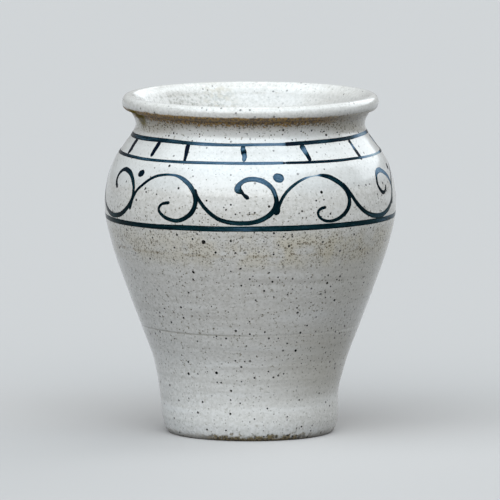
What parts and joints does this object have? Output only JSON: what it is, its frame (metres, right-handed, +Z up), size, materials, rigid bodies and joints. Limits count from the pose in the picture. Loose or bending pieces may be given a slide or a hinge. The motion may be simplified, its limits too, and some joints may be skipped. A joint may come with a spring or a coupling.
{
  "type": "flower pot",
  "caption": "Shouldered stoneware flower pot with a narrow foot, a rolled rim and a painted band of running scrolls.",
  "frame": {"origin": "middle of the foot, on the surface that the pot stands on", "axes": "+Z up along the pot's axis of turning, -Y towards the pictured side of the painting, +X to the right of it"},
  "size_m": [0.1556, 0.1555, 0.18],
  "materials": {
    "glazed_clay": "glossy pale grey glaze with fine dark iron specks, brown in the crease under the rim and bare at the foot",
    "oxide_paint": "dark blue-green oxide brushwork under a glossy glaze"
  },
  "bodies": {
    "root": {"lower_body": "glazed_clay", "upper_body": "glazed_clay", "rim_roll": "glazed_clay", "neck_line": "oxide_paint", "shoulder_line": "oxide_paint", "belly_line": "oxide_paint", "rung_1": "oxide_paint", "rung_2": "oxide_paint", "rung_3": "oxide_paint", "rung_4": "oxide_paint", "rung_5": "oxide_paint", "rung_6": "oxide_paint", "rung_7": "oxide_paint", "rung_8": "oxide_paint", "rung_9": "oxide_paint", "rung_10": "oxide_paint", "rung_11": "oxide_paint", "rung_12": "oxide_paint", "rung_13": "oxide_paint", "scroll_arch_1": "oxide_paint", "scroll_loop_1": "oxide_paint", "scroll_dot_1": "oxide_paint", "scroll_arch_2": "oxide_paint", "scroll_loop_2": "oxide_paint", "scroll_dot_2": "oxide_paint", "scroll_arch_3": "oxide_paint", "scroll_loop_3": "oxide_paint", "scroll_dot_3": "oxide_paint", "scroll_arch_4": "oxide_paint", "scroll_loop_4": "oxide_paint", "scroll_dot_4": "oxide_paint", "scroll_arch_5": "oxide_paint", "scroll_loop_5": "oxide_paint", "scroll_dot_5": "oxide_paint", "scroll_arch_6": "oxide_paint", "scroll_loop_6": "oxide_paint", "scroll_dot_6": "oxide_paint"}
  },
  "joints": []
}
